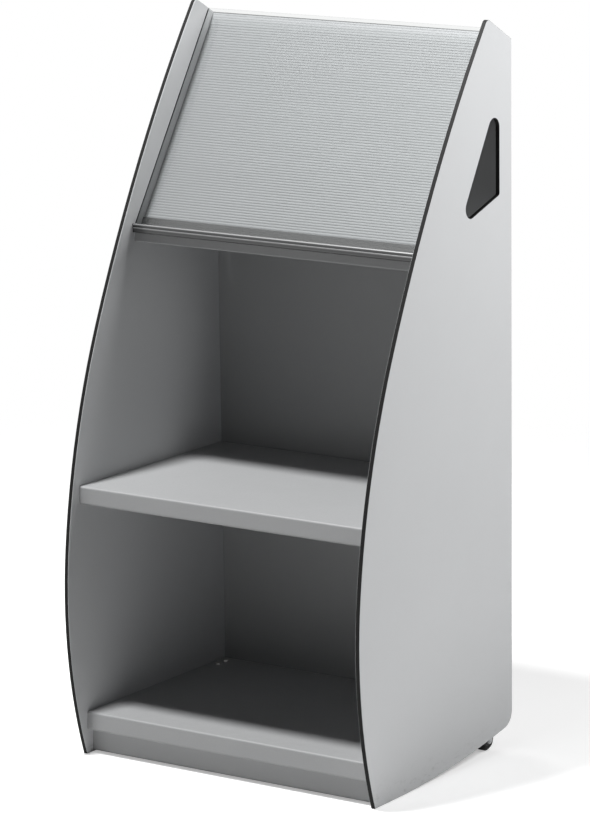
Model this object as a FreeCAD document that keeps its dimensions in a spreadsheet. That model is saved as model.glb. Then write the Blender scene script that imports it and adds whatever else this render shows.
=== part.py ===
# Periodical display rack: two curved compact-laminate side panels carry folded steel shelves, a
# sloping ribbed display with a clear cover in front of it, a recessed back and two tilt-back wheels.
# Construction frame: X to the right, Y to the rear from the frontmost line, Z up from the floor.
# The finished rack has its origin on the floor under the centre of its footprint.
import FreeCAD, Part
import os
import re
import Sketcher
from math import atan2, cos, hypot, radians, sin, sqrt
from FreeCAD import Placement, Rotation, Vector

doc = FreeCAD.newDocument("PeriodicalDisplayRack")

# ---------------------------------------------------------------- driving dimensions, mm and degrees
sizes = {
    # carcass
    "outerWidth": 450,
    "overallDepth": 381,
    "panelThickness": 6,
    "panelEdgeBreak": 0.5,
    # front edge of a side panel: three tangent arcs
    "bellyShare": 0.237,
    "lowerShare": 0.301,
    "middleShare": 0.6043,
    "toeShare": 0.1018,
    "middleSetbackShare": 0.1934,
    "topEdgeLength": 61.5,
    # bottom, rear and top edges of a side panel
    "flatEnd": 75,
    "rockerRadius": 1600,
    "rearCornerRadius": 22,
    "rearLean": 1.37,
    "rearTopHeight": 936.7,
    "topSlope": 27.5,
    "topCornerRadius": 8,
    # three-cornered hand hole
    "handleMargin": 31,
    "handleDrop": 196.7,
    "handleHeight": 134.5,
    "handleLength": 99.5,
    "handleFloorSlope": 17.5,
    "handleRadius": 13.5,
    "handleHeelRadius": 3,
    # folded sheet steel
    "sheetGauge": 1.5,
    "bendRadius": 1.2,
    "sideFlange": 18,
    "flangeSetback": 14,
    "flangeScrewInset": 7,
    # shelves and plinth
    "middleShelfHeight": 362,
    "middleShelfSetback": 27,
    "middleLip": 24,
    "shelfScrewInset": 55,
    "bottomShelfHeight": 57.5,
    "bottomShelfSetback": 39.5,
    "bottomLip": 25,
    "castorBayLength": 95,
    "lipReturn": 12,
    "rearDrop": 16,
    "plinthGap": 2,
    "plinthClearance": 1,
    # back panel, a shallow pan
    "backInset": 18,
    "backFlange": 16,
    "backBottom": 45,
    "backTopGap": 4.2,
    "backScrewEdge": 60,
    # sloping display: distances are square to the cover, heights run up along it
    "displayShare": 0.4105,
    "displayDrop": 249.6,
    "coverTopInset": 31.2,
    "coverThickness": 2,
    "pocketDepth": 12,
    "ribPanelThickness": 3.4,
    "ribPitch": 3.75,
    "ribGrooveDepth": 0.6,
    "ribGrooveMouth": 2,
    "ribGrooveFloor": 0.8,
    "ribTopMargin": 19,
    "ribBottomMargin": 14,
    "displayTopGap": 0.3,
    "grooveDepth": 2,
    "grooveClearance": 0.2,
    "grooveFloorGap": 0.3,
    # ledge extrusion and the tray under it
    "ledgeWall": 1.8,
    "ledgeNose": 7,
    "ledgeLip": 3.2,
    "ledgeDrop": 4.5,
    "ledgeSkirt": 13,
    "ledgeFacet": 1.9,
    "ledgeFacetDrop": 2.6,
    "ledgeBead": 3.8,
    "ledgeBeadStep": 1.2,
    "ledgeBeadRadius": 0.6,
    "ledgeGroove": 1.8,
    "ledgeRibBevel": 1,
    "ledgeRib": 1.2,
    "ledgeRibStep": 0.4,
    "channelWall": 1.5,
    "channelHeight": 20.5,
    "ledgeHeel": 1.2,
    "trayApron": 15.8,
    "trayCap": 16,
    "traySideFlange": 20,
    "traySideGap": 49,
    "trayScrewEdge": 24,
    # tilt-back wheels
    "wheelRadius": 15,
    "wheelWidth": 16,
    "axleToRear": 44,
    "hubRadius": 9,
    "hubRecess": 1,
    "tyreShoulder": 3,
    "axleRadius": 2.5,
    "axleHeadRadius": 4,
    "axleHeadHeight": 1,
    "axleClearance": 0.05,
    "cheekThickness": 2,
    "cheekFootHalf": 5.5,
    "cheekTopHalf": 14,
    "cheekShoulder": 40,
    "wheelSideGap": 0.5,
    "castorScrewInset": 5,
    # fasteners
    "screwRadius": 2,
    "screwHeadRadius": 3.6,
    "screwHeadHeight": 2.2,
    "headTaper": 0.45,
    "pilotDepth": 4.5,
    "holeClearance": 0.15,
    "rivetRadius": 1.2,
    "rivetHeadRadius": 2.1,
    "rivetHeadHeight": 1,
    "rivetWallGap": 0.3,
    "rivetBendGap": 0.1,
    "rivetSpacing": 98,
    "rivetEndMargin": 20,
    "nutHalfWidth": 3.5,
    "nutHeight": 3.2,
    "castorScrewHeadHeight": 1.6,
}

# sizes that follow from the driving dimensions
derived = {
    "innerHalf": "outerWidth / 2 - panelThickness",
    "rearCornerCentre": "overallDepth - rearCornerRadius",
    "rearCornerHeight": "rockerRadius - sqrt((rockerRadius - rearCornerRadius)^2"
                        " - (rearCornerCentre - flatEnd)^2)",
    "rearFootY": "rearCornerCentre + rearCornerRadius / cos(rearLean * 1 deg)"
                 " + rearCornerHeight * tan(rearLean * 1 deg)",
    "rearTopY": "rearFootY - rearTopHeight * tan(rearLean * 1 deg)",
    "bellyHeight": "bellyShare * rearTopHeight",
    "lowerJoin": "lowerShare * rearTopHeight",
    "middleJoin": "middleShare * rearTopHeight",
    "toeY": "toeShare * overallDepth",
    "middleY": "middleSetbackShare * overallDepth",
    "lowerRadius": "(bellyHeight^2 + toeY^2) / (2 * toeY)",
    "lowerRise": "lowerJoin - bellyHeight",
    "lowerY": "lowerRadius - sqrt(lowerRadius^2 - lowerRise^2)",
    "middleRun": "middleY - lowerY",
    "middleRise": "middleJoin - lowerJoin",
    "lowerTurn": "asin(lowerRise / lowerRadius)",
    "middleRadius": "(middleRun^2 + middleRise^2)"
                    " / (2 * (middleRun * cos(lowerTurn) - middleRise * sin(lowerTurn)))",
    "middleTurn": "asin(sin(lowerTurn) + middleRise / middleRadius)",
    "cornerY": "rearTopY - topEdgeLength * cos(topSlope * 1 deg) - topCornerRadius * sin(topSlope * 1 deg)",
    "cornerZ": "rearTopHeight + topEdgeLength * sin(topSlope * 1 deg)"
               " - topCornerRadius * cos(topSlope * 1 deg)",
    "upperRun": "cornerY - middleY",
    "upperRise": "cornerZ - middleJoin",
    "upperRadius": "(upperRun^2 + upperRise^2 - topCornerRadius^2)"
                   " / (2 * (upperRun * cos(middleTurn) - upperRise * sin(middleTurn) - topCornerRadius))",
    "backFootY": "rearFootY - backInset",
    "backTop": "rearTopHeight - backTopGap",
    "backScrewPitch": "(backTop - backBottom - 2 * backScrewEdge) / 2",
    "handleFootHeight": "rearTopHeight - handleDrop",
    "handleApexHeight": "handleFootHeight + handleHeight",
    "middleShelfRear": "backFootY - middleShelfHeight * tan(rearLean * 1 deg)",
    "bottomShelfRear": "backFootY - bottomShelfHeight * tan(rearLean * 1 deg)",
    "plinthFront": "bottomShelfSetback + lipReturn",
    "plinthReturn": "flangeSetback - plinthClearance",
    "plinthTop": "bottomShelfHeight - sheetGauge",
    "displayFootY": "displayShare * overallDepth",
    "displayFootZ": "rearTopHeight - displayDrop",
    "coverRun": "rearTopY - coverTopInset - displayFootY",
    "coverRise": "displayDrop + coverTopInset * tan(topSlope * 1 deg)",
    "displayLean": "atan(coverRun / coverRise) / 1 deg",
    "topRise": "tan((displayLean - topSlope) * 1 deg)",
    "coverTop": "sqrt(coverRun^2 + coverRise^2) - displayTopGap",
    "ribFront": "coverThickness + pocketDepth",
    "ribBack": "ribFront + ribPanelThickness",
    "ribTop": "coverTop + ribFront * topRise",
    "trayBack": "ribBack + sheetGauge",
    "trayRear": "trayBack + trayCap",
    "traySideTop": "coverTop - traySideGap",
    "trayScrewPitch": "(traySideTop - 2 * trayScrewEdge) / 2",
    "pocketFloor": "0 - ledgeDrop",
    "channelRear": "ribFront - grooveClearance",
    "channelFront": "channelRear - channelWall",
    "rivetPlace": "channelFront - rivetWallGap - rivetHeadRadius",
    "apronBend": "(bendRadius + sheetGauge) / tan((90 - displayLean) / 2 * 1 deg)",
    "apronRoot": "rivetPlace - rivetHeadRadius - rivetBendGap - apronBend",
    "trayFloor": "pocketFloor - ledgeWall",
    "ribCount": "floor((ribTop - pocketFloor - ribTopMargin - ribBottomMargin) / ribPitch) + 1",
    "axleY": "overallDepth - axleToRear",
    "cheekOuter": "innerHalf - sheetGauge",
    "wheelCentreX": "cheekOuter - cheekThickness - wheelSideGap - wheelWidth / 2",
    "forkHalf": "wheelWidth / 2 + wheelSideGap + cheekThickness",
    "bracketTop": "bottomShelfHeight - sheetGauge",
    "holeRadius": "screwRadius + holeClearance",
}

sheet = doc.addObject("Spreadsheet::Sheet", "Sizes")
for row, (alias, value) in enumerate(sizes.items(), start=1):
    sheet.set(f"A{row}", alias)
    sheet.set(f"B{row}", str(value))
    sheet.setAlias(f"B{row}", alias)
for row, (alias, formula) in enumerate(derived.items(), start=1):
    sheet.set(f"D{row}", alias)
    sheet.set(f"E{row}", "=" + formula)
    sheet.setAlias(f"E{row}", alias)
doc.recompute()


def size(alias):
    return float(getattr(sheet, alias))


def bound(expression):
    """Turn the aliases in an expression into references to the sheet."""
    def reference(match):
        word = match.group()
        return "Sizes." + word if word in sizes or word in derived else word
    return re.sub(r"[A-Za-z]+", reference, str(expression))


def bind(thing, path, expression):
    thing.setExpression(path, bound(expression))


# ---------------------------------------------------------------- helpers for bodies and sketches
subParts = []


def newBody(label):
    """A body in the construction frame, moved so that the rack's origin is under its centre."""
    body = doc.addObject("PartDesign::Body", label)
    body.Label = label
    bind(body, "Placement.Base.y", "-overallDepth / 2")
    subParts.append(body)
    return body


def newDisplayBody(label):
    """A body in the display's frame: Y square to the cover and rearward, Z up along it."""
    body = newBody(label)
    bind(body, "Placement.Base.y", "displayFootY - overallDepth / 2")
    bind(body, "Placement.Base.z", "displayFootZ")
    body.Placement.Rotation = Rotation(Vector(-1, 0, 0), 1)
    bind(body, "Placement.Rotation.Angle", "displayLean * 1 deg")
    return body


def newSketch(body, plane, label, offset="0"):
    """A sketch on one of the body's own origin planes, moved along the plane's normal."""
    sketch = body.newObject("Sketcher::SketchObject", label)
    support = [item for item in body.Origin.OriginFeatures if item.Role == plane + "_Plane"][0]
    sketch.AttachmentSupport = (support, [""])
    sketch.MapMode = "FlatFace"
    bind(sketch, "AttachmentOffset.Base.z", offset)
    return sketch


def dimension(sketch, kind, references, expression, value=1.0):
    """Add one dimension to a sketch and bind it to an expression."""
    index = sketch.addConstraint(Sketcher.Constraint(kind, *references, value))
    bind(sketch, f"Constraints[{index}]", expression)


def polygon(sketch, corners):
    """A closed outline whose corners are pairs of expressions."""
    first = sketch.GeometryCount
    count = len(corners)
    turn = 2 * 3.14159265 / count
    spread = [Vector(cos(turn * index), sin(turn * index), 0) for index in range(count)]
    for index in range(count):
        sketch.addGeometry(Part.LineSegment(spread[index], spread[(index + 1) % count]), False)
    for index in range(count):
        following = first + (index + 1) % count
        sketch.addConstraint(Sketcher.Constraint("Coincident", first + index, 2, following, 1))
    for index, (across, along) in enumerate(corners):
        dimension(sketch, "DistanceX", (-1, 1, first + index, 1), across)
        dimension(sketch, "DistanceY", (-1, 1, first + index, 1), along)


def rectangle(sketch, left, right, low, high):
    polygon(sketch, [(left, low), (right, low), (right, high), (left, high)])


def circles(sketch, spots, radius):
    """One circle of the same radius at each spot, a pair of expressions."""
    for across, along in spots:
        circle = sketch.addGeometry(Part.Circle(Vector(0, 0, 0), Vector(0, 0, 1), 1), False)
        dimension(sketch, "DistanceX", (-1, 1, circle, 3), across)
        dimension(sketch, "DistanceY", (-1, 1, circle, 3), along)
        dimension(sketch, "Radius", (circle,), radius)


def pad(body, sketch, length, label, midplane=False, backward=False):
    feature = body.newObject("PartDesign::Pad", label)
    feature.Profile = sketch
    feature.Midplane = midplane
    feature.Reversed = backward
    bind(feature, "Length", length)
    doc.recompute()
    return feature


def pocket(body, sketch, depth, label, backward=False):
    """Cut a sketch into the body: by a depth, or right through both ways when depth is None."""
    before = body.Shape.Volume
    feature = body.newObject("PartDesign::Pocket", label)
    feature.Profile = sketch
    feature.Reversed = backward
    if depth is None:
        feature.Type = "ThroughAll"
        feature.Midplane = True
    else:
        bind(feature, "Length", depth)
    doc.recompute()
    if body.Shape.Volume >= before:
        raise RuntimeError(f"{label} cuts nothing")
    return feature


def revolve(body, sketch, label):
    """Turn a sketch about the body's X axis."""
    feature = body.newObject("PartDesign::Revolution", label)
    feature.Profile = sketch
    feature.ReferenceAxis = (sketch, ["H_Axis"])
    feature.Angle = 360
    doc.recompute()
    return feature


def edgesAlongX(feature, spots):
    """Names of the edges along X that pass through the given Y and Z, for fillets."""
    names = []
    for index, edge in enumerate(feature.Shape.Edges, start=1):
        start, end = edge.Vertexes[0].Point, edge.Vertexes[-1].Point
        alongX = abs(start.y - end.y) < 1e-4 and abs(start.z - end.z) < 1e-4 and abs(start.x - end.x) > 0.1
        if alongX and any(hypot(start.y - y, start.z - z) < 1e-3 for y, z in spots):
            names.append(f"Edge{index}")
    return names


def edgesAlongY(feature, spots):
    """Names of the edges along Y that pass through the given X and Z."""
    names = []
    for index, edge in enumerate(feature.Shape.Edges, start=1):
        box = edge.BoundBox
        if box.XLength > 1e-4 or box.ZLength > 1e-4 or box.YLength < 0.1:
            continue
        if any(hypot(box.XMin - x, box.ZMin - z) < 1e-3 for x, z in spots):
            names.append(f"Edge{index}")
    return names


def cornerSpots(sketch, indices):
    """Plane coordinates of chosen corners of a sketch made by polygon()."""
    points = [sketch.getPoint(index, 1) for index in indices]
    return [(point.x, point.y) for point in points]


def roundCorners(body, feature, spots, radius, label):
    """Fillet the edges along X at the given spots of the side view."""
    names = edgesAlongX(feature, spots)
    if not names:
        raise RuntimeError(f"{label} finds no edge")
    fillet = body.newObject("PartDesign::Fillet", label)
    fillet.Base = (feature, names)
    bind(fillet, "Radius", radius)
    doc.recompute()
    return fillet


def foldedSection(body, corners, outer, inner, length):
    """A folded sheet drawn as its section in the side view: outer and inner list the bends."""
    section = newSketch(body, "YZ", body.Label + "Section")
    polygon(section, corners)
    strip = pad(body, section, length, body.Label + "Strip", midplane=True)
    spots = cornerSpots(section, outer)
    rounded = roundCorners(body, strip, spots, "bendRadius + sheetGauge", body.Label + "OuterBends")
    spots = cornerSpots(section, inner)
    return roundCorners(body, rounded, spots, "bendRadius", body.Label + "InnerBends")


def endFlanges(body, left, right, low, high, spots):
    """Two upright flanges that lie against the side panels, with a hole at each spot."""
    for side, backward in (("Right", True), ("Left", False)):
        offset = "innerHalf" if side == "Right" else "-innerHalf"
        outline = newSketch(body, "YZ", f"{body.Label}{side}FlangeOutline", offset)
        rectangle(outline, left, right, low, high)
        pad(body, outline, "sheetGauge", f"{body.Label}{side}Flange", backward=backward)
    holes = newSketch(body, "YZ", body.Label + "FlangeHoles")
    circles(holes, spots, "holeRadius")
    pocket(body, holes, None, body.Label + "FlangeDrill")


# places in the display's frame, given square to the cover and up along it, as rack coordinates
def displayY(out, up):
    return f"displayFootY + ({out}) * cos(displayLean * 1 deg) + ({up}) * sin(displayLean * 1 deg)"


def displayZ(out, up):
    return f"displayFootZ - ({out}) * sin(displayLean * 1 deg) + ({up}) * cos(displayLean * 1 deg)"


# places in the back panel's frame, given rearward and up along the leaning rear edge
def backY(out, up):
    return f"backFootY + ({out}) * cos(rearLean * 1 deg) - ({up}) * sin(rearLean * 1 deg)"


def backZ(out, up):
    return f"({out}) * sin(rearLean * 1 deg) + ({up}) * cos(rearLean * 1 deg)"


# ---------------------------------------------------------------- screw places, in each piece's frame
middleShelfSpots = [
    ("middleShelfSetback + shelfScrewInset", "middleShelfHeight - sideFlange / 2"),
    ("middleShelfRear - shelfScrewInset", "middleShelfHeight - sideFlange / 2"),
]
bottomShelfSpots = [
    ("bottomShelfSetback + shelfScrewInset", "bottomShelfHeight - sideFlange / 2"),
    ("bottomShelfRear - castorBayLength", "bottomShelfHeight - sideFlange / 2"),
]
plinthSpots = [("plinthFront + (plinthReturn + sheetGauge) / 2", "(plinthGap + plinthTop) / 2")]
backSpots = [("backFlange - flangeScrewInset", f"backBottom + backScrewEdge + {step} * backScrewPitch")
             for step in range(3)]
traySpots = [("trayBack + traySideFlange - flangeScrewInset", f"trayScrewEdge + {step} * trayScrewPitch")
             for step in range(3)]
rivetSteps = int((size("innerHalf") - size("rivetEndMargin")) // size("rivetSpacing"))
rivetSpots = [(f"{step} * rivetSpacing", "rivetPlace")
              for step in range(-rivetSteps, rivetSteps + 1)]
castorScrewSpots = [("0", "cheekTopHalf - castorScrewInset"), ("0", "castorScrewInset - cheekTopHalf")]

pilotSpots = {
    "middle_shelf": middleShelfSpots,
    "bottom_shelf": bottomShelfSpots,
    "plinth": plinthSpots,
    "back_panel": [(backY(out, up), backZ(out, up)) for out, up in backSpots],
    "display_tray": [(displayY(out, up), displayZ(out, up)) for out, up in traySpots],
}


# ---------------------------------------------------------------- side panels
def arcAbout(centre, start, end):
    """A sketch arc that runs anticlockwise about its centre from start to end."""
    radius = (start - centre).Length
    first = atan2(start.y - centre.y, start.x - centre.x)
    last = atan2(end.y - centre.y, end.x - centre.x)
    circle = Part.Circle(centre, Vector(0, 0, 1), radius)
    return Part.ArcOfCircle(circle, first, last if last > first else last + 2 * 3.14159265)


def panelOutline(sketch):
    """The side view of a panel: floor line, rocker arc, rear corner, rear edge, top edge, front arcs."""
    lean, slope = radians(size("rearLean")), radians(size("topSlope"))
    lower, middle, upper = size("lowerRadius"), size("middleRadius"), size("upperRadius")
    corner = size("topCornerRadius")
    lowerCentre = Vector(lower, size("bellyHeight"), 0)
    lowerTop = Vector(size("lowerY"), size("lowerJoin"), 0)
    toe = Vector(size("toeY"), 0, 0)
    middleCentre = lowerTop + (lowerCentre - lowerTop) * (middle / lower)
    middleTop = Vector(size("middleY"), size("middleJoin"), 0)
    upperCentre = middleTop + (middleCentre - middleTop) * (upper / middle)
    cornerCentre = Vector(size("cornerY"), size("cornerZ"), 0)
    topEnd = cornerCentre + Vector(sin(slope), cos(slope), 0) * corner
    frontTop = cornerCentre + (cornerCentre - upperCentre) * (corner / (upper - corner))
    rearTop = Vector(size("rearTopY"), size("rearTopHeight"), 0)
    flat = Vector(size("flatEnd"), 0, 0)
    rockerCentre = Vector(flat.x, size("rockerRadius"), 0)
    rearCentre = Vector(size("rearCornerCentre"), size("rearCornerHeight"), 0)
    rearRadius = size("rearCornerRadius")
    rockerEnd = rearCentre + (rearCentre - rockerCentre) * (rearRadius / (size("rockerRadius") - rearRadius))
    rearStart = rearCentre + Vector(cos(lean), sin(lean), 0) * rearRadius

    floorLine = sketch.addGeometry(Part.LineSegment(toe, flat), False)
    rocker = sketch.addGeometry(arcAbout(rockerCentre, flat, rockerEnd), False)
    rearCorner = sketch.addGeometry(arcAbout(rearCentre, rockerEnd, rearStart), False)
    rearEdge = sketch.addGeometry(Part.LineSegment(rearStart, rearTop), False)
    topEdge = sketch.addGeometry(Part.LineSegment(rearTop, topEnd), False)
    topCorner = sketch.addGeometry(arcAbout(cornerCentre, topEnd, frontTop), False)
    upperArc = sketch.addGeometry(arcAbout(upperCentre, frontTop, middleTop), False)
    middleArc = sketch.addGeometry(arcAbout(middleCentre, middleTop, lowerTop), False)
    lowerArc = sketch.addGeometry(arcAbout(lowerCentre, lowerTop, toe), False)

    chain = [floorLine, rocker, rearCorner, rearEdge, topEdge, topCorner, upperArc, middleArc, lowerArc]
    for current, following in zip(chain, chain[1:] + chain[:1]):
        sharp = following in (topEdge, floorLine)
        joint = "Coincident" if sharp else "Tangent"
        sketch.addConstraint(Sketcher.Constraint(joint, current, 2, following, 1))
    sketch.addConstraint(Sketcher.Constraint("PointOnObject", floorLine, 1, -1))
    sketch.addConstraint(Sketcher.Constraint("Horizontal", floorLine))
    dimension(sketch, "DistanceX", (-1, 1, floorLine, 2), "flatEnd", flat.x)
    dimension(sketch, "DistanceX", (-1, 1, rearCorner, 3), "rearCornerCentre", rearCentre.x)
    dimension(sketch, "DistanceY", (-1, 1, rearEdge, 2), "rearTopHeight", rearTop.y)
    dimension(sketch, "DistanceY", (-1, 1, upperArc, 2), "middleJoin", middleTop.y)
    dimension(sketch, "DistanceY", (-1, 1, middleArc, 2), "lowerJoin", lowerTop.y)
    dimension(sketch, "DistanceY", (-1, 1, lowerArc, 3), "bellyHeight", lowerCentre.y)
    dimension(sketch, "DistanceX", (-1, 1, lowerArc, 3), "lowerRadius", lowerCentre.x)
    dimension(sketch, "Angle", (rearEdge,), "(90 + rearLean) * 1 deg", radians(90) + lean)
    dimension(sketch, "Angle", (topEdge,), "(180 - topSlope) * 1 deg", radians(180) - slope)
    dimension(sketch, "Radius", (rocker,), "rockerRadius", size("rockerRadius"))
    dimension(sketch, "Radius", (rearCorner,), "rearCornerRadius", rearRadius)
    dimension(sketch, "Radius", (topCorner,), "topCornerRadius", corner)
    dimension(sketch, "Radius", (upperArc,), "upperRadius", upper)
    dimension(sketch, "Radius", (middleArc,), "middleRadius", middle)
    dimension(sketch, "Radius", (lowerArc,), "lowerRadius", lower)


def handleCorners():
    """The sharp corners of the hand hole: heel at the rear, apex above it, tip in front."""
    tangent = "tan(rearLean * 1 deg)"
    heel = f"rearFootY - handleMargin - handleFootHeight * {tangent}"
    apex = f"rearFootY - handleMargin - handleApexHeight * {tangent}"
    tipHeight = "handleFootHeight - handleLength * tan(handleFloorSlope * 1 deg)"
    return [(heel, "handleFootHeight"), (apex, "handleApexHeight"), (f"{heel} - handleLength", tipHeight)]


def sidePanel(label, right):
    """A laminate panel; local X = 0 is its inner face, and it grows outwards."""
    body = newBody(label)
    bind(body, "Placement.Base.x", "innerHalf" if right else "-innerHalf")
    outline = newSketch(body, "YZ", label + "Outline")
    panelOutline(outline)
    board = pad(body, outline, "panelThickness", label + "Board", backward=not right)

    handle = newSketch(body, "YZ", label + "Handle")
    polygon(handle, handleCorners())
    hole = pocket(body, handle, None, label + "HandleCut")
    heel, apex, tip = cornerSpots(handle, range(3))
    rounded = roundCorners(body, hole, [apex, tip], "handleRadius", label + "HandleRounding")
    rounded = roundCorners(body, rounded, [heel], "handleHeelRadius", label + "HandleHeel")

    chamfer = body.newObject("PartDesign::Chamfer", label + "EdgeBreak")
    faces = [0.0, size("panelThickness") * (1 if right else -1)]
    chamfer.Base = (rounded, rimEdges(rounded, faces))
    bind(chamfer, "Size", "panelEdgeBreak")
    doc.recompute()

    groove = newSketch(body, "YZ", label + "CoverGroove")
    front, rear = "-grooveClearance", "coverThickness + grooveClearance"
    foot, beyond = "pocketFloor - grooveClearance", "coverTop + topCornerRadius"
    corners = [(front, foot), (rear, foot), (rear, beyond), (front, beyond)]
    polygon(groove, [(displayY(out, up), displayZ(out, up)) for out, up in corners])
    pocket(body, groove, "grooveDepth", label + "CoverGrooveCut", backward=right)

    pilots = newSketch(body, "YZ", label + "Pilots")
    circles(pilots, [spot for spots in pilotSpots.values() for spot in spots], "screwRadius")
    pocket(body, pilots, "pilotDepth", label + "PilotDrill", backward=right)
    return body


def rimEdges(feature, faces):
    """Names of the edges that lie wholly in one of the two large faces."""
    names = []
    for index, edge in enumerate(feature.Shape.Edges, start=1):
        box = edge.BoundBox
        if any(abs(box.XMin - face) < 1e-4 and abs(box.XMax - face) < 1e-4 for face in faces):
            names.append(f"Edge{index}")
    return names


# ---------------------------------------------------------------- shelves, plinth and back
def shelf(label, top, setback, rear, lip, spots):
    """A folded shelf: lip with a return in front, drop flange at the rear, a flange at each end."""
    body = newBody(label)
    floor = f"{top} - {lip}"
    corners = [
        (setback, floor),
        (f"{setback} + lipReturn", floor),
        (f"{setback} + lipReturn", f"{floor} + sheetGauge"),
        (f"{setback} + sheetGauge", f"{floor} + sheetGauge"),
        (f"{setback} + sheetGauge", f"{top} - sheetGauge"),
        (f"{rear} - sheetGauge", f"{top} - sheetGauge"),
        (f"{rear} - sheetGauge", f"{top} - rearDrop"),
        (rear, f"{top} - rearDrop"),
        (rear, top),
        (setback, top),
    ]
    foldedSection(body, corners, [0, 8, 9], [3, 4, 5], "2 * innerHalf")
    front, back = f"{setback} + lipReturn + flangeSetback", f"{rear} - flangeSetback"
    endFlanges(body, front, back, f"{top} - sideFlange", f"{top} - sheetGauge / 2", spots)
    return body


def bottomShelf():
    """The bottom shelf is also drilled for the castor screws."""
    body = shelf("bottom_shelf", "bottomShelfHeight", "bottomShelfSetback", "bottomShelfRear", "bottomLip",
                 bottomShelfSpots)
    holes = newSketch(body, "XY", "bottom_shelfCastorHoles", "bottomShelfHeight - 2 * sheetGauge")
    centres = [(f"{side}wheelCentreX + {across}", f"axleY + {along}")
               for side in ("-", "") for across, along in castorScrewSpots]
    circles(holes, centres, "holeRadius")
    pocket(body, holes, "3 * sheetGauge", "bottom_shelfCastorDrill", backward=True)
    return body


def plinth():
    """A folded kick plate behind the bottom lip: a foot return, a top return and two end flanges."""
    body = newBody("plinth")
    corners = [
        ("plinthFront", "plinthGap"),
        ("plinthFront + plinthReturn", "plinthGap"),
        ("plinthFront + plinthReturn", "plinthGap + sheetGauge"),
        ("plinthFront + sheetGauge", "plinthGap + sheetGauge"),
        ("plinthFront + sheetGauge", "plinthTop - sheetGauge"),
        ("plinthFront + plinthReturn", "plinthTop - sheetGauge"),
        ("plinthFront + plinthReturn", "plinthTop"),
        ("plinthFront", "plinthTop"),
    ]
    foldedSection(body, corners, [0, 7], [3, 4], "2 * innerHalf")
    front, rear = "plinthFront + sheetGauge / 2", "plinthFront + plinthReturn"
    endFlanges(body, front, rear, "plinthGap + sheetGauge * 2", "plinthTop - sheetGauge * 2", plinthSpots)
    return body


def backPanel():
    """A shallow pan whose flanges point to the rear; its frame leans with the rear edge."""
    body = newBody("back_panel")
    bind(body, "Placement.Base.y", "backFootY - overallDepth / 2")
    body.Placement.Rotation = Rotation(Vector(1, 0, 0), 1)
    bind(body, "Placement.Rotation.Angle", "rearLean * 1 deg")
    corners = [
        ("0", "backBottom"),
        ("backFlange", "backBottom"),
        ("backFlange", "backBottom + sheetGauge"),
        ("sheetGauge", "backBottom + sheetGauge"),
        ("sheetGauge", "backTop - sheetGauge"),
        ("backFlange", "backTop - sheetGauge"),
        ("backFlange", "backTop"),
        ("0", "backTop"),
    ]
    foldedSection(body, corners, [0, 7], [3, 4], "2 * innerHalf")
    low, high = "backBottom + sheetGauge * 2", "backTop - sheetGauge * 2"
    endFlanges(body, "sheetGauge / 2", "backFlange", low, high, backSpots)
    return body


# ---------------------------------------------------------------- sloping display
def down(out, up, drop):
    """A place in the display's frame that lies straight below another one."""
    return f"{out} + ({drop}) * sin(displayLean * 1 deg)", f"{up} - ({drop}) * cos(displayLean * 1 deg)"


def rearward(place, distance):
    """A place in the display's frame that lies level with another one, further back."""
    out, up = place
    return f"{out} + {distance} * cos(displayLean * 1 deg)", f"{up} + {distance} * sin(displayLean * 1 deg)"


noseTop = ("-ledgeNose", "pocketFloor + ledgeLip")
noseCrest = ("ledgeFacet - ledgeNose", "pocketFloor + ledgeLip")
facetFoot = down(*noseTop, "ledgeFacetDrop")
beadFoot = down(*noseTop, "ledgeBead")
grooveTop = rearward(beadFoot, "ledgeBeadStep")
grooveFoot = down(*grooveTop, "ledgeGroove")
ribTop = rearward(down(*beadFoot, "ledgeGroove + ledgeRibBevel"), "ledgeRibStep")
ribFoot = down(*ribTop, "ledgeRib")
skirtTop = rearward(ribFoot, "ledgeBeadStep - ledgeRibStep")
skirtFoot = rearward(down(*noseTop, "ledgeSkirt"), "ledgeBeadStep")
skirtBack = rearward(skirtFoot, "ledgeWall")
skirtRise = "(ledgeWall + ledgeLip - ledgeSkirt * cos(displayLean * 1 deg)" \
            " + (ledgeBeadStep + ledgeWall) * sin(displayLean * 1 deg)) / cos(displayLean * 1 deg)"
skirtRoot = down(*skirtBack, skirtRise)
apronTop = ("apronRoot", "trayFloor")
apronFoot = down(*apronTop, "trayApron")
apronBack = rearward(apronFoot, "sheetGauge")
apronRise = "(sheetGauge - trayApron * cos(displayLean * 1 deg)" \
            " + sheetGauge * sin(displayLean * 1 deg)) / cos(displayLean * 1 deg)"
apronInner = down(*apronBack, apronRise)


def displayTray():
    """One folded sheet: apron, floor under the ledge, sloping plate, cap over the back panel."""
    body = newDisplayBody("display_tray")
    corners = [
        apronTop,
        apronFoot,
        apronBack,
        apronInner,
        ("trayBack", "trayFloor - sheetGauge"),
        ("trayBack", "coverTop + trayBack * topRise - sheetGauge"),
        ("trayRear", "coverTop + trayRear * topRise - sheetGauge"),
        ("trayRear", "coverTop + trayRear * topRise"),
        ("ribBack", "coverTop + ribBack * topRise"),
        ("ribBack", "trayFloor"),
    ]
    foldedSection(body, corners, [0, 4, 8], [3, 5, 9], "2 * innerHalf")
    endFlanges(body, "trayBack - sheetGauge / 2", "trayBack + traySideFlange", "0", "traySideTop", traySpots)
    holes = newSketch(body, "XY", "display_trayRivetHoles", "trayFloor - 2 * sheetGauge")
    circles(holes, rivetSpots, "rivetRadius")
    pocket(body, holes, "3 * sheetGauge", "display_trayRivetDrill", backward=True)
    return body


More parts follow.
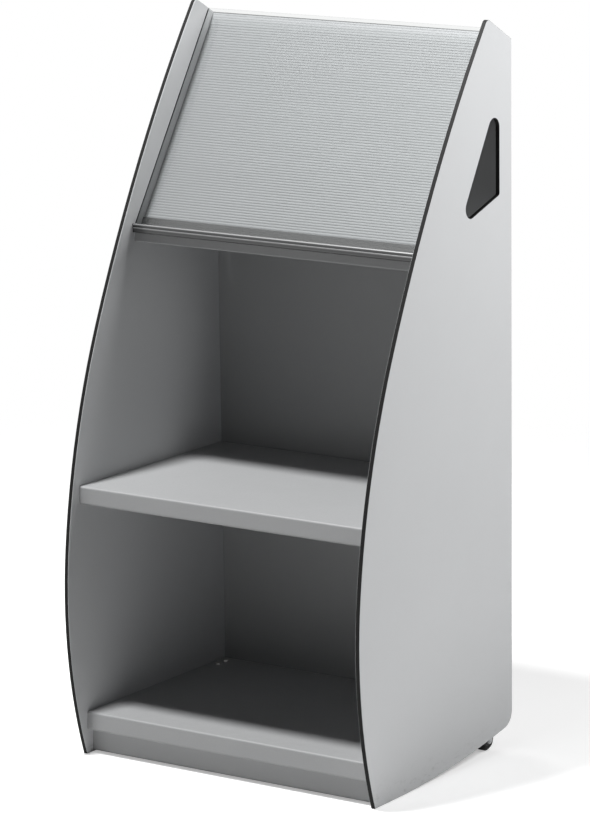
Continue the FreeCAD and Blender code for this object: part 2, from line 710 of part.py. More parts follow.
def ribbedPanel():
    """The display's back: a board with fine level ribs, cut as repeated grooves."""
    body = newDisplayBody("ribbed_panel")
    board = newSketch(body, "YZ", "ribbed_panelBoard")
    rectangle(board, "ribFront", "ribBack", "pocketFloor", "ribTop")
    pad(body, board, "2 * innerHalf", "ribbed_panelSlab", midplane=True)
    groove = newSketch(body, "YZ", "ribbed_panelGroove")
    middle = "pocketFloor + ribBottomMargin"
    polygon(groove, [
        ("ribFront", f"{middle} - ribGrooveMouth / 2"),
        ("ribFront + ribGrooveDepth", f"{middle} - ribGrooveFloor / 2"),
        ("ribFront + ribGrooveDepth", f"{middle} + ribGrooveFloor / 2"),
        ("ribFront", f"{middle} + ribGrooveMouth / 2"),
    ])
    cut = pocket(body, groove, None, "ribbed_panelGrooveCut")
    pattern = body.newObject("PartDesign::LinearPattern", "ribbed_panelRibs")
    pattern.Originals = [cut]
    pattern.Direction = (groove, ["V_Axis"])
    bind(pattern, "Occurrences", "ribCount")
    bind(pattern, "Length", "(ribCount - 1) * ribPitch")
    body.Tip = pattern
    doc.recompute()
    return body


def displayLedge():
    """The ledge extrusion: beaded nose, skirt, pocket floor and a channel for the ribbed panel."""
    body = newDisplayBody("display_ledge")
    section = newSketch(body, "YZ", "display_ledgeSection")
    channelTop = "pocketFloor + channelHeight"
    polygon(section, [
        noseCrest,
        facetFoot,
        beadFoot,
        grooveTop,
        grooveFoot,
        ribTop,
        ribFoot,
        skirtTop,
        skirtFoot,
        skirtBack,
        skirtRoot,
        ("ribBack - ledgeHeel", "trayFloor"),
        ("ribBack - ledgeHeel", "pocketFloor"),
        ("channelRear", "pocketFloor"),
        ("channelRear", channelTop),
        ("channelFront", channelTop),
        ("channelFront", "pocketFloor"),
        ("-grooveClearance", "pocketFloor"),
        ("-grooveClearance", "pocketFloor + ledgeLip"),
    ])
    bar = pad(body, section, "2 * innerHalf", "display_ledgeBar", midplane=True)
    roundCorners(body, bar, cornerSpots(section, [0, 1]), "ledgeBeadRadius", "display_ledgeBead")
    holes = newSketch(body, "XY", "display_ledgeRivetHoles", "trayFloor - sheetGauge")
    circles(holes, rivetSpots, "rivetRadius")
    pocket(body, holes, "ledgeWall + 2 * sheetGauge", "display_ledgeRivetDrill", backward=True)
    return body


def clearCover():
    """The clear sheet in front of the pocket; its sides stand in the panels' grooves."""
    body = newDisplayBody("clear_cover")
    outline = newSketch(body, "YZ", "clear_coverEdge")
    rectangle(outline, "0", "coverThickness", "pocketFloor", "coverTop")
    width = "2 * (innerHalf + grooveDepth - grooveFloorGap)"
    pad(body, outline, width, "clear_coverSheet", midplane=True)
    return body


# ---------------------------------------------------------------- tilt-back wheels
def wheelBody(label, side):
    """A body whose X axis is the axle, with local X = 0 in the middle of the wheel."""
    body = newBody(label)
    bind(body, "Placement.Base.x", "wheelCentreX" if side > 0 else "-wheelCentreX")
    bind(body, "Placement.Base.y", "axleY - overallDepth / 2")
    bind(body, "Placement.Base.z", "wheelRadius")
    return body


def turned(body, corners):
    section = newSketch(body, "XY", body.Label + "Section")
    polygon(section, corners)
    return revolve(body, section, body.Label + "Turning")


def tyre(label, side):
    """A rubber tyre with bevelled shoulders, pressed onto the hub."""
    body = wheelBody(label, side)
    half = "wheelWidth / 2"
    turned(body, [
        (f"-{half}", "hubRadius"),
        (f"{half}", "hubRadius"),
        (f"{half}", "wheelRadius - tyreShoulder"),
        (f"{half} - tyreShoulder", "wheelRadius"),
        (f"tyreShoulder - {half}", "wheelRadius"),
        (f"-{half}", "wheelRadius - tyreShoulder"),
    ])
    return body


def hub(label, side):
    """A nylon hub with a dished face on each side of its bearing sleeve."""
    body = wheelBody(label, side)
    half, bore, sleeve = "wheelWidth / 2", "axleRadius + axleClearance", "axleHeadRadius + 1"
    turned(body, [
        (f"-{half}", bore),
        (f"{half}", bore),
        (f"{half}", sleeve),
        (f"{half} - hubRecess", sleeve),
        (f"{half} - hubRecess", "hubRadius"),
        (f"hubRecess - {half}", "hubRadius"),
        (f"hubRecess - {half}", sleeve),
        (f"-{half}", sleeve),
    ])
    return body


def axle(label, side):
    """A solid rivet with a flat head at each end."""
    body = wheelBody(label, side)
    turned(body, [
        ("-(forkHalf + axleHeadHeight)", "0"),
        ("forkHalf + axleHeadHeight", "0"),
        ("forkHalf + axleHeadHeight", "axleHeadRadius"),
        ("forkHalf", "axleHeadRadius"),
        ("forkHalf", "axleRadius"),
        ("-forkHalf", "axleRadius"),
        ("-forkHalf", "axleHeadRadius"),
        ("-(forkHalf + axleHeadHeight)", "axleHeadRadius"),
    ])
    return body


def castorBracket(label, side):
    """A folded fork under the bottom shelf: a top plate and two tapered cheeks with rounded feet."""
    body = wheelBody(label, side)
    top = "bracketTop - wheelRadius"
    shoulder = "cheekShoulder - wheelRadius"
    cheekCorners = [
        ("cheekFootHalf", "0"),
        ("cheekTopHalf", shoulder),
        ("cheekTopHalf", top),
        ("-cheekTopHalf", top),
        ("-cheekTopHalf", shoulder),
        ("-cheekFootHalf", "0"),
    ]
    plate = newSketch(body, "YZ", label + "Plate")
    rectangle(plate, "-cheekTopHalf", "cheekTopHalf", f"{top} - cheekThickness", top)
    pad(body, plate, "2 * forkHalf", label + "TopPlate", midplane=True)
    for name, offset, backward in (("Outer", "forkHalf", True), ("Inner", "-forkHalf", False)):
        outline = newSketch(body, "YZ", f"{label}{name}Outline", offset)
        polygon(outline, cheekCorners)
        pad(body, outline, "cheekThickness", f"{label}{name}Cheek", backward=backward)
        foot = newSketch(body, "YZ", f"{label}{name}FootOutline", offset)
        circles(foot, [("0", "0")], "cheekFootHalf")
        cheek = pad(body, foot, "cheekThickness", f"{label}{name}Foot", backward=backward)
    folds = edgesAlongY(cheek, [(reach, size("bracketTop") - size("wheelRadius"))
                                for reach in (-size("forkHalf"), size("forkHalf"))])
    fold = body.newObject("PartDesign::Fillet", label + "Folds")
    fold.Base = (cheek, folds)
    bind(fold, "Radius", "cheekThickness")
    doc.recompute()
    holes = newSketch(body, "YZ", label + "AxleHole")
    circles(holes, [("0", "0")], "axleRadius")
    pocket(body, holes, None, label + "AxleDrill")
    drill = newSketch(body, "XY", label + "ScrewHoles", f"{top} - 2 * cheekThickness")
    circles(drill, castorScrewSpots, "holeRadius")
    pocket(body, drill, "3 * cheekThickness", label + "ScrewDrill", backward=True)
    return body


# ---------------------------------------------------------------- fasteners
def hexPrism(halfWidth, start, end):
    """A six-sided prism along +X."""
    radius = halfWidth / cos(radians(30))
    corners = [Vector(start, radius * cos(radians(60 * turn)), radius * sin(radians(60 * turn)))
               for turn in range(7)]
    return Part.Face(Part.makePolygon(corners)).extrude(Vector(end - start, 0, 0))


def hexScrew(length, headHeight):
    """A screw along +X: its six-sided head stands in front of X = 0, its shank runs to length."""
    head = hexPrism(size("screwHeadRadius"), -headHeight, 0)
    return head.fuse(Part.makeCylinder(size("screwRadius"), length, Vector(0, 0, 0), Vector(1, 0, 0)))


def rivet(length):
    """A rivet along +X: its tapered head stands in front of X = 0, its shank runs to length."""
    head, headHeight = size("rivetHeadRadius"), size("rivetHeadHeight")
    cap = Part.makeCone(head - size("headTaper") * headHeight, head, headHeight,
                        Vector(-headHeight, 0, 0), Vector(1, 0, 0))
    return cap.fuse(Part.makeCylinder(size("rivetRadius"), length, Vector(0, 0, 0), Vector(1, 0, 0)))


def hexNut(halfWidth, bore, height):
    """A nut along +X, its first face at X = 0."""
    prism = hexPrism(halfWidth, 0, height)
    return prism.cut(Part.makeCylinder(bore, height, Vector(0, 0, 0), Vector(1, 0, 0)))


def fastenerGroup(label, places, shape):
    """Identical fasteners as separate solids; each place is a point and a direction."""
    copies = []
    for point, direction in places:
        copy = shape.copy()
        copy.Placement = Placement(point, Rotation(Vector(1, 0, 0), direction))
        copies.append(copy)
    group = doc.addObject("Part::Feature", label)
    group.Label = label
    group.Shape = Part.makeCompound(copies)
    group.Placement.Base = Vector(0, -size("overallDepth") / 2, 0)
    subParts.append(group)
    return group


def panelScrews():
    """Screws from inside the rack through the end flanges into the side panels."""
    length = size("sheetGauge") + size("pilotDepth") - 0.5
    screw = hexScrew(length, size("screwHeadHeight"))
    start = size("innerHalf") - size("sheetGauge")
    pilots = doc.getObject("side_panel_rightPilots")
    centres = [geometry.Center for geometry in pilots.Geometry]
    for piece, spots in pilotSpots.items():
        own, centres = centres[:len(spots)], centres[len(spots):]
        places = [(Vector(start, point.x, point.y), Vector(1, 0, 0)) for point in own]
        places += [(Vector(-start, point.x, point.y), Vector(-1, 0, 0)) for point in own]
        fastenerGroup(piece + "_screws", places, screw)


def ledgeRivets():
    """Rivets from the pocket's floor through the ledge and the tray below it."""
    length = size("ledgeWall") + size("sheetGauge") + size("rivetHeadHeight")
    lean = radians(size("displayLean"))
    along, across = Vector(0, sin(lean), cos(lean)), Vector(0, cos(lean), -sin(lean))
    foot = Vector(0, size("displayFootY"), size("displayFootZ"))
    centres = [geometry.Center for geometry in doc.getObject("display_ledgeRivetHoles").Geometry]
    places = [(foot + Vector(centre.x, 0, 0) + across * centre.y + along * size("pocketFloor"), -along)
              for centre in centres]
    fastenerGroup("ledge_rivets", places, rivet(length))


def castorFasteners():
    """Low-headed screws down through the bottom shelf and the fork plates, with nuts below."""
    shelfTop = size("bottomShelfHeight")
    grip = size("sheetGauge") + size("cheekThickness")
    length = grip + size("nutHeight") + size("sheetGauge")
    screw = hexScrew(length, size("castorScrewHeadHeight"))
    nut = hexNut(size("nutHalfWidth"), size("screwRadius"), size("nutHeight"))
    centres = [geometry.Center for geometry in doc.getObject("castor_bracket_rightScrewHoles").Geometry]
    spots = [(side * size("wheelCentreX") + centre.x, size("axleY") + centre.y)
             for side in (-1, 1) for centre in centres]
    fastenerGroup("castor_screws", [(Vector(x, y, shelfTop), Vector(0, 0, -1)) for x, y in spots], screw)
    fastenerGroup("castor_nuts", [(Vector(x, y, shelfTop - grip), Vector(0, 0, -1)) for x, y in spots], nut)


# ---------------------------------------------------------------- the rack
sidePanel("side_panel_left", right=False)
sidePanel("side_panel_right", right=True)
backPanel()
shelf("middle_shelf", "middleShelfHeight", "middleShelfSetback", "middleShelfRear", "middleLip",
      middleShelfSpots)
bottomShelf()
plinth()
displayTray()
ribbedPanel()
displayLedge()
clearCover()
for name, side in (("left", -1), ("right", 1)):
    castorBracket(f"castor_bracket_{name}", side)
    axle(f"axle_{name}", side)
    hub(f"wheel_hub_{name}", side)
    tyre(f"wheel_tyre_{name}", side)
panelScrews()
ledgeRivets()
castorFasteners()

doc.recompute()
for item in doc.Objects:
    if "Invalid" in item.State or "Error" in item.State:
        raise RuntimeError(f"{item.Label}: {item.State}")
for piece in subParts:
    if piece.Shape.isNull() or not piece.Shape.isValid():
        raise RuntimeError(f"{piece.Label} has no valid shape")

os.makedirs("parts", exist_ok=True)
for piece in subParts:
    piece.Shape.exportStep(f"parts/{piece.Label}.step")
    print(piece.Label, len(piece.Shape.Solids), round(piece.Shape.Volume))
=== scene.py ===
import math

import bpy
from mathutils import Euler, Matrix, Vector


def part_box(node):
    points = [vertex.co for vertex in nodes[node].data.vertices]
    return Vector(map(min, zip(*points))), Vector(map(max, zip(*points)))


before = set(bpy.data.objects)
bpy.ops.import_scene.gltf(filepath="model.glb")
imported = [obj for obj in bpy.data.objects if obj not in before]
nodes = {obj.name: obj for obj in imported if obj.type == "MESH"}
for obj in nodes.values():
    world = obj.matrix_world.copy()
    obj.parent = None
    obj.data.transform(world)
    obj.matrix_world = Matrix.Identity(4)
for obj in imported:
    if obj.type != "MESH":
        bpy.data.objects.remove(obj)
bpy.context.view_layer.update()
scene = bpy.context.scene
print("frame loaded:", len(nodes), "nodes")


# a socket with arithmetic, so that shader maths reads as a formula
class Wire:
    def __init__(self, graph, socket):
        self.graph = graph
        self.socket = socket

    def maths(self, operation, *others):
        return self.graph.add("Math", {"operation": operation}, dict(enumerate((self, *others))))

    def __add__(self, other):
        return self.maths("ADD", other)

    def __sub__(self, other):
        return self.maths("SUBTRACT", other)

    def __mul__(self, other):
        return self.maths("MULTIPLY", other)

    def __rsub__(self, other):
        return self.graph.add("Math", {"operation": "SUBTRACT"}, {0: other, 1: self})

    __radd__ = __add__
    __rmul__ = __mul__

    # distance from 0
    def size(self):
        return self.maths("ABSOLUTE")

    # a noise from 0 to 1, moved to swing about 0
    def swing(self):
        return self - 0.5

    # 0 at low and 1 at high, with a smooth run between them; low may be the larger one
    def ramp(self, low, high):
        return self.graph.add("MapRange", {"interpolation_type": "SMOOTHSTEP"},
                              {"Value": self, "From Min": low, "From Max": high})

    # 1 from low to high and 0 outside, with a soft edge
    def band(self, low, high, edge):
        return self.ramp(low - edge, low) * self.ramp(high + edge, high)


class Graph:
    def __init__(self, owner):
        owner.use_nodes = True
        self.tree = owner.node_tree
        self.tree.nodes.clear()

    def add(self, kind, settings=None, values=None, output=0):
        made = self.tree.nodes.new("ShaderNode" + kind)
        for key, value in (settings or {}).items():
            setattr(made, key, value)
        for key, value in (values or {}).items():
            self.feed(made.inputs[key], value)
        return Wire(self, made.outputs[output])

    def feed(self, socket, value):
        if isinstance(value, Wire):
            self.tree.links.new(value.socket, socket)
        else:
            socket.default_value = value

    def place(self):
        return self.add("TexCoord", output="Object")

    # the three parts of a place or a colour
    def along(self, vector):
        split = self.add("SeparateXYZ", values={"Vector": vector})
        return [Wire(self, socket) for socket in split.socket.node.outputs]

    # what kind of ray is asking, by the names of the Light Path node
    def rays(self):
        path = self.add("LightPath")
        return {socket.name: Wire(self, socket) for socket in path.socket.node.outputs}

    # squeeze makes the pattern finer along each axis
    def noise(self, place, scale, detail, roughness, squeeze=None):
        if squeeze:
            place = self.add("VectorMath", {"operation": "MULTIPLY"}, {0: place, 1: squeeze})
        return self.add("TexNoise", values={"Vector": place, "Scale": scale, "Detail": detail,
                                            "Roughness": roughness})

    # sockets 6 and 7 are the Mix node's two colours, and its output 2 is the mixed one
    def blend(self, factor, first, second):
        return self.add("Mix", {"data_type": "RGBA"}, {0: factor, 6: first, 7: second}, output=2)

    # a plain grey of a level that varies
    def even(self, level):
        return self.add("CombineColor", values={0: level, 1: level, 2: level})

    # a grey that varies with shade, a little bluer for a higher cool
    def tinted(self, shade, level, cool):
        parts = {0: level * (1 - cool) * shade, 1: level * shade, 2: level * (1 + cool) * shade}
        return self.add("CombineColor", values=parts)

    def bump(self, height, strength, distance, normal=None):
        values = {"Height": height, "Strength": strength, "Distance": distance}
        if normal is not None:
            values["Normal"] = normal
        return self.add("Bump", values=values)

    def principled(self, values):
        return self.add("BsdfPrincipled", values=values)

    def show(self, shader, kind="Material"):
        output = self.tree.nodes.new("ShaderNodeOutput" + kind)
        self.tree.links.new(shader.socket, output.inputs["Surface"])


def grey(level, warmth=0.0):
    return (level * (1 + warmth), level, level * (1 - warmth), 1.0)


# lean of the display from upright, from the box of its flat cover less the cover's thickness
def displayLean():
    cover = {"thickness": 0.002, "rounds": 4}
    low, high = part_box("clear_cover")
    run, rise = high[1] - low[1], high[2] - low[2]
    angle = 0.0
    for turn in range(cover["rounds"]):
        angle = math.atan2(run - cover["thickness"] * math.cos(angle),
                           rise - cover["thickness"] * math.sin(angle))
    return angle


lean = displayLean()


# side panels: pale decor faces on a black compact core of fine layers, scuffed near the floor
def laminate(graph):
    look = {
        "midplane": 0.222,  # middle of a panel's thickness, from the rack's middle
        # the inner decor colour covers the inner chamfers: a real light decor line widened into a painted
        # highlight along the inner arrises
        "innerDecor": 0.00252, "outerDecor": 0.00288, "fade": 0.00006,  # decor starts here, from the midplane
        "decor": 0.55, "cool": 0.014, "core": 0.004, "coreLight": 0.011, "coreWarmth": 0.02,
        "scuffHeight": 0.05, "scuffs": (0.52, 0.7), "specular": 0.16,
        "shade": {"cloud": 0.05, "grain": 0.06, "scuff": 0.18},
        "rough": {"plain": 0.5, "cloud": 0.12, "grain": 0.1, "decor": 0.06, "scuff": 0.2},
        "relief": {"grain": 0.7, "pores": 0.3},
    }
    place = graph.place()
    across, _, height = graph.along(place)
    outward = across.size() - look["midplane"]
    decorMask = (outward.ramp(look["outerDecor"], look["outerDecor"] + look["fade"])
                 + outward.ramp(-look["innerDecor"], -look["innerDecor"] - look["fade"]))
    cloud = graph.noise(place, scale=7.0, detail=4.0, roughness=0.6)
    grain = graph.noise(place, scale=900.0, detail=2.0, roughness=0.6)
    pores = graph.noise(place, scale=2600.0, detail=1.0, roughness=0.5)
    marks = graph.noise(place, scale=60.0, detail=5.0, roughness=0.7, squeeze=(1.0, 1.0, 3.0))
    scuff = marks.ramp(*look["scuffs"]) * height.ramp(look["scuffHeight"], 0.0)
    layers = graph.noise(place, scale=1.0, detail=3.0, roughness=0.6, squeeze=(5200.0, 60.0, 60.0))
    shade, rough, relief = look["shade"], look["rough"], look["relief"]
    tone = 1 - shade["cloud"] * cloud.swing() - shade["grain"] * grain.swing() - shade["scuff"] * scuff
    decor = graph.tinted(tone, look["decor"], look["cool"])
    core = graph.blend(layers, grey(look["core"]), grey(look["coreLight"], look["coreWarmth"]))
    return graph.principled({
        "Base Color": graph.blend(decorMask, core, decor),
        "Roughness": (rough["plain"] + rough["cloud"] * cloud.swing() + rough["grain"] * grain.swing()
                      - rough["decor"] * decorMask + rough["scuff"] * scuff),
        "Specular IOR Level": look["specular"],
        "Normal": graph.bump(grain * relief["grain"] + pores * relief["pores"],
                             strength=0.35, distance=0.00006),
    })


# folded sheet steel under a fine-textured grey powder coat, with a painted highlight along the display tray's
# lower edge
def paintedSteel(graph):
    look = {
        "paint": 0.33, "paintedFootHighlight": 0.36, "cool": 0.012, "ior": 1.5,
        "paintedFootHighlightHeight": 0.0008, "paintedFootHighlightDepth": 0.003, "fade": 0.8, "below": (0.0003, 0.0002),  # from its low edge
        "shade": {"cloud": 0.07, "peel": 0.09, "specks": 0.05},
        "rough": {"plain": 0.44, "peel": 0.16, "cloud": 0.12},
        "relief": {"peel": 0.7, "specks": 0.3},
    }
    place = graph.place()
    _, depth, height = graph.along(place)
    cloud = graph.noise(place, scale=9.0, detail=4.0, roughness=0.6)
    peel = graph.noise(place, scale=620.0, detail=3.0, roughness=0.55)
    specks = graph.noise(place, scale=2400.0, detail=1.0, roughness=0.5)
    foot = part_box("display_tray")[0]
    # painted highlight: the lowest 0.8 mm of the tray's front foot is lighter
    paintedFootHighlight = (height.ramp(foot[2] + look["paintedFootHighlightHeight"], foot[2] + look["paintedFootHighlightHeight"] * look["fade"])
            * height.ramp(foot[2] - look["below"][0], foot[2] - look["below"][1])
            * depth.ramp(foot[1] + look["paintedFootHighlightDepth"], foot[1] + look["paintedFootHighlightDepth"] * look["fade"]))
    shade, rough, relief = look["shade"], look["rough"], look["relief"]
    tone = (1 - shade["cloud"] * cloud.swing() - shade["peel"] * peel.swing()
            - shade["specks"] * specks.swing())
    level = paintedFootHighlight * (look["paintedFootHighlight"] - look["paint"]) + look["paint"]
    return graph.principled({
        "Base Color": graph.tinted(tone * level, 1.0, look["cool"]),
        "Roughness": rough["plain"] + rough["peel"] * peel.swing() + rough["cloud"] * cloud.swing(),
        "IOR": look["ior"],
        "Normal": graph.bump(peel * relief["peel"] + specks * relief["specks"],
                             strength=0.5, distance=0.00008),
    })


# ribbed silver board: lines drawn along the ribs, a painted shade line along the top edge, and shallow ribs
# on the plain strip under it; elsewhere the bump fills the grooves of the mesh in part
def ribbedBoard(graph):
    look = {
        "silver": 0.26, "cool": 0.025, "thickness": 0.0034,
        "shadeLineWidth": 0.0016, "shadeLineFade": 0.5, "shadeLineTone": 0.2,  # distances are from the top edge, down the board
        "plain": (0.0022, 0.0176), "plainFade": 0.0003,
        "pitch": 0.00375, "lastRib": 0.0195, "depth": 0.0006, "shallow": 0.3, "soften": 0.65,
        "walls": (-0.1, 0.78),  # cosine at a groove's lip and at its floor
        "shade": {"lines": 0.1, "cloud": 0.08},
        "metallic": {"plain": 0.25, "cloud": 0.1},
        "rough": {"plain": 0.5, "lines": 0.14, "cloud": 0.08},
    }
    place = graph.place()
    _, depth, height = graph.along(place)
    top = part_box("ribbed_panel")[1]
    topUp = (top[1] - look["thickness"] * math.cos(lean)) * math.sin(lean) + top[2] * math.cos(lean)
    fromTop = topUp - (depth * math.sin(lean) + height * math.cos(lean))
    # painted shade: the top 1.6 mm of the board is darkened to a line
    paintedLightMask = fromTop.ramp(look["shadeLineWidth"], look["shadeLineWidth"] * look["shadeLineFade"])
    wave = ((fromTop - look["lastRib"]) * (2 * math.pi / look["pitch"])).maths("COSINE")
    trough = wave.ramp(*look["walls"])
    plainFrom, plainTo = look["plain"]
    strip = fromTop.ramp(plainTo + look["plainFade"], plainTo)
    groove = trough * strip * fromTop.ramp(plainFrom, plainFrom + look["plainFade"])
    relief = look["soften"] * trough * (1 - strip) - look["shallow"] * groove
    lines = graph.noise(place, scale=1.0, detail=3.0, roughness=0.6, squeeze=(6.0, 1400.0, 1400.0))
    cloud = graph.noise(place, scale=1.0, detail=3.0, roughness=0.6, squeeze=(3.0, 12.0, 12.0))
    shade, metallic, rough = look["shade"], look["metallic"], look["rough"]
    tone = ((1 + shade["lines"] * lines.swing() + shade["cloud"] * cloud.swing())
            * (1 - (1 - look["shadeLineTone"]) * paintedLightMask))
    drawn = graph.bump(lines, strength=0.3, distance=0.00005)
    return graph.principled({
        "Base Color": graph.tinted(tone, look["silver"], look["cool"]),
        "Metallic": metallic["plain"] + metallic["cloud"] * cloud.swing(),
        "Roughness": rough["plain"] + rough["lines"] * lines.swing() + rough["cloud"] * cloud.swing(),
        "Normal": graph.bump(relief, strength=1.0, distance=look["depth"], normal=drawn),
    })


# extruded aluminium, satin anodised: die lines along it, a painted highlight on the facet and bead, painted
# shade on the hem
def brightAluminium(graph):
    look = {
        "metal": 0.1, "bright": 0.22, "paintedHemShadeAmount": 0.55, "cool": 0.008, "metallic": 0.8,
        "facet": (0.0141, 0.0160), "bead": (0.0088, 0.0106), "paintedShadeHem": 0.0048,  # heights on the ledge
        "noseDepth": 0.002, "edge": 0.0003,
        "shade": {"lines": 0.12, "cloud": 0.05},
        "rough": {"plain": 0.3, "lines": 0.16, "cloud": 0.08},
    }
    place = graph.place()
    _, depth, height = graph.along(place)
    _, front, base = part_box("display_ledge")[0]
    nose = depth.ramp(front + look["noseDepth"] + look["edge"], front + look["noseDepth"])
    facet, bead = [height.band(base + start, base + end, look["edge"])
                   for start, end in (look["facet"], look["bead"])]
    # painted highlight: the facet and bead are lighter
    paintedLightMask = nose * (facet + bead)
    # painted shade: the hem at the skirt's foot is darker
    paintedShadeHem = nose * height.ramp(base + look["paintedShadeHem"] + look["edge"], base + look["paintedShadeHem"])
    lines = graph.noise(place, scale=1.0, detail=3.0, roughness=0.65, squeeze=(4.0, 1800.0, 1800.0))
    cloud = graph.noise(place, scale=1.0, detail=3.0, roughness=0.6, squeeze=(5.0, 40.0, 40.0))
    shade, rough = look["shade"], look["rough"]
    tone = 1 + shade["lines"] * lines.swing() + shade["cloud"] * cloud.swing()
    level = (paintedLightMask * (look["bright"] - look["metal"]) + look["metal"]) * (1 - look["paintedHemShadeAmount"] * paintedShadeHem)
    return graph.principled({
        "Base Color": graph.tinted(tone * level, 1.0, look["cool"]),
        "Metallic": look["metallic"],
        "Roughness": rough["plain"] + rough["lines"] * lines.swing() + rough["cloud"] * cloud.swing(),
        "Normal": graph.bump(lines, strength=0.35, distance=0.00004),
    })


# clear acrylic: see-through, with a mirror share that is least seen squarely and rises with a power of
# the glance, alike from both faces
def clearSheet(graph):
    look = {
        "tint": (0.955, 0.96, 0.958, 1.0), "mirror": 0.9, "squareShare": 0.04, "power": 5.0,
        "haze": (0.45, 0.7), "rough": {"plain": 0.04, "haze": 0.05, "wipe": 0.03},
    }
    place = graph.place()
    clouds = graph.noise(place, scale=1.0, detail=4.0, roughness=0.6, squeeze=(14.0, 40.0, 40.0))
    haze = clouds.ramp(*look["haze"])
    wipe = graph.noise(place, scale=1.0, detail=3.0, roughness=0.6, squeeze=(260.0, 30.0, 30.0))
    glance = graph.add("LayerWeight", values={"Blend": 0.5}, output="Facing")
    share = look["squareShare"] + glance.maths("POWER", look["power"]) * (1 - look["squareShare"])
    rough = look["rough"]
    mirror = graph.principled({
        "Base Color": grey(look["mirror"]),
        "Metallic": 1.0,
        "Roughness": rough["plain"] + rough["haze"] * haze + rough["wipe"] * wipe.swing(),
    })
    clear = graph.add("BsdfTransparent", values={"Color": look["tint"]})
    return graph.add("MixShader", values={0: share, 1: clear, 2: mirror})


# zinc plated steel with a faint crystal pattern
def zincPlate(graph):
    look = {
        "zinc": 0.57, "cool": 0.02, "metallic": 0.9, "crystalScale": 420.0,
        "shade": {"crystal": 0.14, "stain": 0.22},
        "rough": {"plain": 0.36, "crystal": 0.2, "stain": 0.2},
    }
    place = graph.place()
    crystals = graph.add("TexVoronoi", values={"Vector": place, "Scale": look["crystalScale"]},
                         output="Color")
    crystal = graph.along(crystals)[0]
    stain = graph.noise(place, scale=130.0, detail=4.0, roughness=0.6)
    shade, rough = look["shade"], look["rough"]
    tone = 1 + shade["crystal"] * crystal.swing() - shade["stain"] * stain.swing()
    return graph.principled({
        "Base Color": graph.tinted(tone, look["zinc"], look["cool"]),
        "Metallic": look["metallic"],
        "Roughness": rough["plain"] + rough["crystal"] * crystal.swing() + rough["stain"] * stain.swing(),
        "Normal": graph.bump(stain, strength=0.3, distance=0.00008),
    })


# moulded black nylon
def nylon(graph):
    look = {
        "black": 0.035, "cool": 0.03,
        "shade": {"cloud": 0.4, "skin": 0.2},
        "rough": {"plain": 0.48, "skin": 0.2},
    }
    place = graph.place()
    skin = graph.noise(place, scale=900.0, detail=3.0, roughness=0.6)
    cloud = graph.noise(place, scale=90.0, detail=3.0, roughness=0.6)
    shade, rough = look["shade"], look["rough"]
    tone = 1 + shade["cloud"] * cloud.swing() + shade["skin"] * skin.swing()
    return graph.principled({
        "Base Color": graph.tinted(tone, look["black"], look["cool"]),
        "Roughness": rough["plain"] + rough["skin"] * skin.swing(),
        "Normal": graph.bump(skin, strength=0.4, distance=0.00008),
    })


# tyre rubber: dull, with dust in its pores
def tyreRubber(graph):
    look = {
        "rubber": 0.009, "dust": 0.04, "dustWarmth": 0.04, "dusting": 0.5, "patches": (0.5, 0.75),
        "specular": 0.25, "rough": {"plain": 0.7, "pores": 0.16, "dust": 0.08},
    }
    place = graph.place()
    pores = graph.noise(place, scale=1500.0, detail=3.0, roughness=0.6)
    dust = graph.noise(place, scale=160.0, detail=5.0, roughness=0.65).ramp(*look["patches"])
    rough = look["rough"]
    return graph.principled({
        "Base Color": graph.blend(dust * look["dusting"], grey(look["rubber"]),
                                  grey(look["dust"], look["dustWarmth"])),
        "Roughness": rough["plain"] + rough["pores"] * pores.swing() + rough["dust"] * dust,
        "Specular IOR Level": look["specular"],
        "Normal": graph.bump(pores, strength=0.6, distance=0.0001),
    })


# zinc plated fasteners, slightly yellowed in patches
def fastenerSteel(graph):
    look = {
        "plate": (0.58, 0.585, 0.6, 1.0), "yellowed": (0.47, 0.45, 0.4, 1.0), "patches": (0.35, 0.7),
        "metallic": 0.95, "rough": {"plain": 0.3, "stain": 0.2, "fine": 0.1},
    }
    place = graph.place()
    stain = graph.noise(place, scale=340.0, detail=4.0, roughness=0.6)
    fine = graph.noise(place, scale=2200.0, detail=2.0, roughness=0.5)
    rough = look["rough"]
    return graph.principled({
        "Base Color": graph.blend(stain.ramp(*look["patches"]), look["plate"], look["yellowed"]),
        "Metallic": look["metallic"],
        "Roughness": rough["plain"] + rough["stain"] * stain.swing() + rough["fine"] * fine.swing(),
        "Normal": graph.bump(fine, strength=0.3, distance=0.00004),
    })


def madeMaterial(name, finish):
    material = bpy.data.materials.new(name + "_look")
    graph = Graph(material)
    graph.show(finish(graph))
    return material


finishes = {"laminate": laminate, "painted_steel": paintedSteel, "ribbed_board": ribbedBoard,
            "bright_aluminium": brightAluminium, "clear_sheet": clearSheet, "zinc_plate": zincPlate,
            "nylon": nylon, "tyre_rubber": tyreRubber, "fastener_steel": fastenerSteel}
materials = {slotName: madeMaterial(slotName, finish) for slotName, finish in finishes.items()}
for node in nodes.values():
    for holder in node.material_slots:
        holder.material = materials[holder.material.name.split(".")[0]]
print("finishes:", len(materials))


def putObject(name, data, place=(0.0, 0.0, 0.0)):
    made = bpy.data.objects.new(name, data)
    made.location = place
    scene.collection.objects.link(made)
    return made


# plain floor near the rack; it fades into the white surround
floor = {"half": 3.0, "drop": 0.0002, "albedo": 0.7, "tooth": 0.01, "rough": 0.9, "lift": 0.4,
         "fade": (0.9, 2.2)}


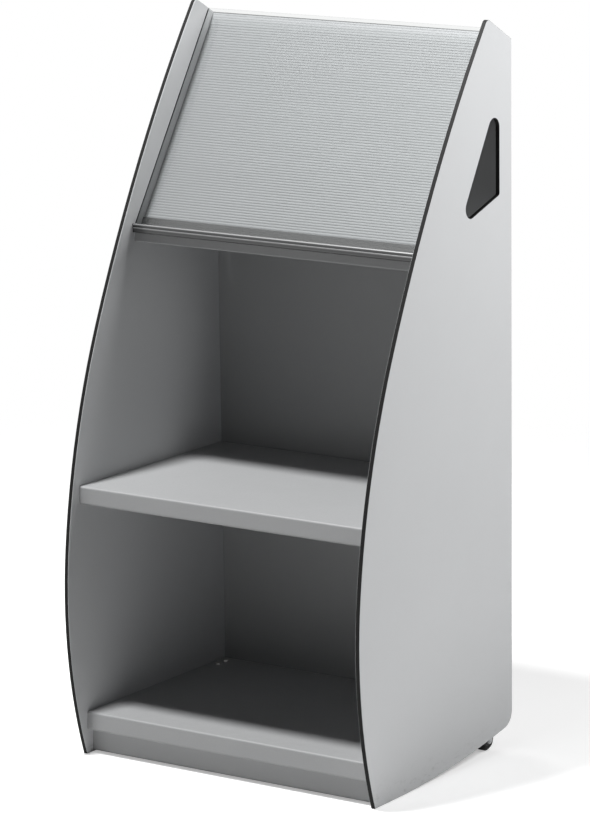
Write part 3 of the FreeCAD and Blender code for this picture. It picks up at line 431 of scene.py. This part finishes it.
def floorLook(graph):
    place = graph.place()
    across, depth, _ = graph.along(place)
    reach = (across * across + depth * depth).maths("SQRT")
    tooth = graph.noise(place, scale=40.0, detail=4.0, roughness=0.6)
    card = graph.principled({
        "Base Color": graph.even(floor["albedo"] + floor["tooth"] * tooth.swing()),
        "Roughness": floor["rough"],
        "Specular IOR Level": 0.0,
        "Emission Color": graph.even(graph.rays()["Is Camera Ray"]),
        "Emission Strength": floor["lift"],
    })
    away = graph.add("BsdfTransparent")
    return graph.add("MixShader", values={0: reach.ramp(*floor["fade"]), 1: card, 2: away})


half = floor["half"]
floorMesh = bpy.data.meshes.new("floor")
floorMesh.from_pydata([(-half, -half, 0), (half, -half, 0), (half, half, 0), (-half, half, 0)],
                      [], [(0, 1, 2, 3)])
floorMesh.materials.append(madeMaterial("floor", floorLook))
floorObject = putObject("floor", floorMesh, (0.0, 0.0, -floor["drop"]))

# soft boxes at the right, above the front and at the left rear, and a weak even surround
lights = {
    "side": {"place": (1.25, 0.5, 1.44), "aim": (0.2, 0.0, 0.75), "size": 0.8, "power": 22.8},
    "top": {"place": (-0.42, -0.87, 3.25), "aim": (0.0, 0.0, 0.45), "size": 0.4, "power": 148.0},
    "rear": {"place": (-1.6, 1.35, 1.3), "aim": (0.0, 0.0, 0.5), "size": 0.9, "power": 15.0},
}
surround = 0.01
for name, light in lights.items():
    lamp = bpy.data.lights.new(name, "AREA")
    lamp.shape = "DISK"
    lamp.size = light["size"]
    lamp.energy = light["power"]
    beam = Vector(light["place"]) - Vector(light["aim"])
    lampObject = putObject(name, lamp, light["place"])
    lampObject.rotation_euler = beam.to_track_quat("Z", "Y").to_euler()

# the surround shows white to the eye, in mirrors and through clear sheet, and lights the rack weakly
world = bpy.data.worlds.new("surround")
scene.world = world
graph = Graph(world)
rays = graph.rays()
mirrored = rays["Is Camera Ray"].maths("MAXIMUM", rays["Is Glossy Ray"])
seen = mirrored.maths("MAXIMUM", rays["Is Transmission Ray"])
sky = graph.add("Background", values={"Color": graph.even(seen * (1 - surround) + surround)})
graph.show(sky, "World")
print("light and floor ready")

eye = {"place": (2.81965, -4.33459, 1.54301), "turn": (78.15, 0.0, 32.98), "lens": 179.56, "sensor": 36.0}
camera = bpy.data.cameras.new("camera")
camera.lens = eye["lens"]
camera.sensor_width = eye["sensor"]
cameraObject = putObject("camera", camera, eye["place"])
cameraObject.rotation_euler = Euler([math.radians(angle) for angle in eye["turn"]])
scene.camera = cameraObject
scene.view_settings.view_transform = "Standard"
print("camera ready")
